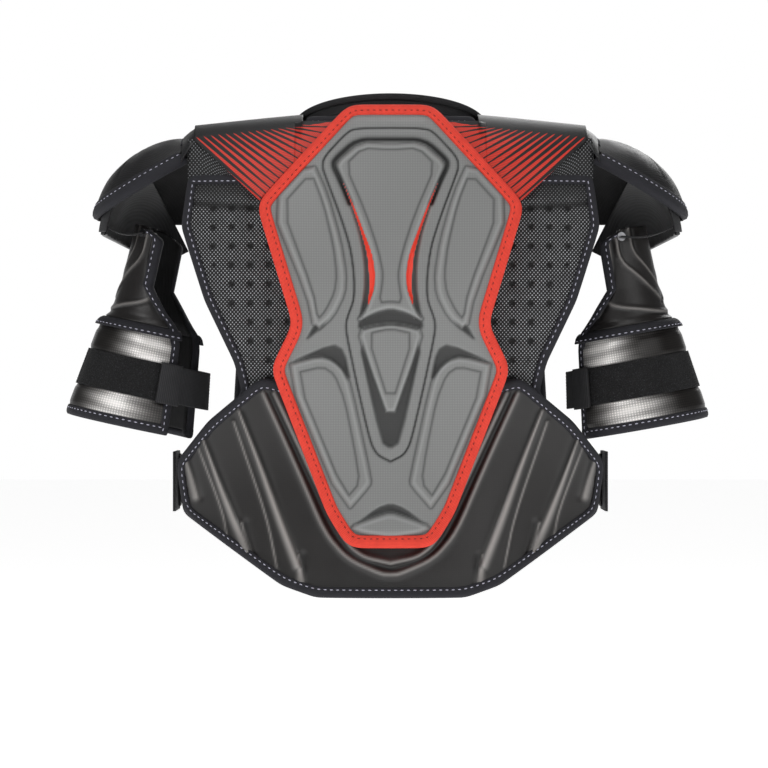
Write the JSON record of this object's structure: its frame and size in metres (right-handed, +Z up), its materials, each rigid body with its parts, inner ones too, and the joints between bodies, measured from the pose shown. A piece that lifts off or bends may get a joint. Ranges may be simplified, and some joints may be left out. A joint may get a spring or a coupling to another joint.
{
  "type": "hockey shoulder pads",
  "caption": "Padded vest with a moulded spine plate, hinged shoulder caps and strap-closed bicep guards, worn under a hockey jersey.",
  "frame": {"origin": "underside of the shoulder arches' crests, midway between the shoulders", "axes": "+X towards the wearer's right, +Y the way the wearer faces, +Z up"},
  "size_m": [0.5973, 0.2702, 0.4561],
  "materials": {
    "liner_mesh": "matte",
    "binding_tape": "matte",
    "black_eva": "satin",
    "grey_eva": "satin",
    "red_binding": "matte",
    "foam": "matte",
    "insert_sheet": "matte",
    "striped_fabric": "satin",
    "black_fabric": "satin",
    "cap_plastic": "satin",
    "black_webbing": "matte",
    "lining": "matte",
    "silver_film": "gloss",
    "hook_and_loop": "matte",
    "rivet_metal": "satin"
  },
  "bodies": {
    "vest": {"back_liner": "liner_mesh", "back_liner_binding": "binding_tape", "spine_plate": "grey_eva", "spine_plate_binding": "red_binding", "spine_insert": "insert_sheet", "lower_back_guard": "black_eva", "lower_back_binding": "binding_tape", "spine_foam_core": "foam", "collar": "black_webbing", "collar_binding": "black_webbing", "shoulder_arch_left": "black_fabric", "shoulder_arch_right": "black_fabric", "yoke_left": "striped_fabric", "yoke_right": "striped_fabric"},
    "front_panel": {"front_liner": "liner_mesh", "front_liner_binding": "binding_tape", "sternum_plate": "grey_eva", "sternum_binding": "red_binding", "belly_guard": "black_eva", "belly_guard_binding": "binding_tape", "chest_pad_left": "black_eva", "chest_pad_right": "black_eva", "side_bolster_left": "foam", "side_bolster_right": "foam"},
    "cap_left": {"cap_cover_left": "black_fabric", "cap_binding_left": "binding_tape", "cap_shell_left": "cap_plastic", "cap_liner_left": "lining"},
    "hanger_left": {"arm_hanger_left": "black_webbing"},
    "arm_left": {"deltoid_flap_left": "black_fabric", "hanger_rivet_left": "rivet_metal", "upper_arm_guard_left": "black_eva", "upper_arm_liner_left": "lining", "bicep_cuff_left": "silver_film", "bicep_cuff_liner_left": "lining", "cuff_hem_binding_left": "binding_tape", "cuff_band_left": "binding_tape", "bicep_loop_strip_left": "hook_and_loop"},
    "bicep_closure_left": {"bicep_strap_left": "black_webbing", "bicep_hook_left": "hook_and_loop"},
    "side_closure_left": {"side_strap_left": "black_webbing", "side_strap_hook_left": "hook_and_loop"},
    "cap_right": {"cap_cover_right": "black_fabric", "cap_binding_right": "binding_tape", "cap_shell_right": "cap_plastic", "cap_liner_right": "lining"},
    "hanger_right": {"arm_hanger_right": "black_webbing"},
    "arm_right": {"deltoid_flap_right": "black_fabric", "hanger_rivet_right": "rivet_metal", "upper_arm_guard_right": "black_eva", "upper_arm_liner_right": "lining", "bicep_cuff_right": "silver_film", "bicep_cuff_liner_right": "lining", "cuff_hem_binding_right": "binding_tape", "cuff_band_right": "binding_tape", "bicep_loop_strip_right": "hook_and_loop"},
    "bicep_closure_right": {"bicep_strap_right": "black_webbing", "bicep_hook_right": "hook_and_loop"},
    "side_closure_right": {"side_strap_right": "black_webbing", "side_strap_hook_right": "hook_and_loop"}
  },
  "joints": [
    {"name": "front_open", "type": "hinge", "parent": "vest", "child": "front_panel", "pos_m": [0, 0.082, -0.037], "axis": [1, 0, 0], "range_deg": [0, 40]},
    {"name": "cap_lift_left", "type": "hinge", "parent": "vest", "child": "cap_left", "pos_m": [-0.184, 0, 0.002], "axis": [0, 1, 0], "range_deg": [0, 45]},
    {"name": "arm_swing_left", "type": "hinge", "parent": "cap_left", "child": "hanger_left", "pos_m": [-0.184, 0, -0.096], "axis": [1, 0, 0], "range_deg": [-35, 50]},
    {"name": "arm_splay_left", "type": "hinge", "parent": "hanger_left", "child": "arm_left", "pos_m": [-0.184, 0, -0.096], "axis": [0, 1, 0], "range_deg": [-2, 35]},
    {"name": "bicep_strap_open_left", "type": "hinge", "parent": "arm_left", "child": "bicep_closure_left", "pos_m": [-0.21208, -0.0597, -0.22574], "axis": [-0.1653, -0.1437, -0.9757], "range_deg": [0, 25]},
    {"name": "side_strap_open_left", "type": "hinge", "parent": "vest", "child": "side_closure_left", "pos_m": [-0.2004, -0.03, -0.3175], "axis": [0, 0, 1], "range_deg": [0, 90]},
    {"name": "cap_lift_right", "type": "hinge", "parent": "vest", "child": "cap_right", "pos_m": [0.184, 0, 0.002], "axis": [0, -1, 0], "range_deg": [0, 45]},
    {"name": "arm_swing_right", "type": "hinge", "parent": "cap_right", "child": "hanger_right", "pos_m": [0.184, 0, -0.096], "axis": [1, 0, 0], "range_deg": [-35, 50]},
    {"name": "arm_splay_right", "type": "hinge", "parent": "hanger_right", "child": "arm_right", "pos_m": [0.184, 0, -0.096], "axis": [0, -1, 0], "range_deg": [-2, 35]},
    {"name": "bicep_strap_open_right", "type": "hinge", "parent": "arm_right", "child": "bicep_closure_right", "pos_m": [0.18191, -0.04467, -0.23053], "axis": [-0.0695, 0.1075, 0.9918], "range_deg": [0, 25]},
    {"name": "side_strap_open_right", "type": "hinge", "parent": "vest", "child": "side_closure_right", "pos_m": [0.2004, -0.03, -0.3175], "axis": [0, 0, -1], "range_deg": [0, 90]}
  ]
}
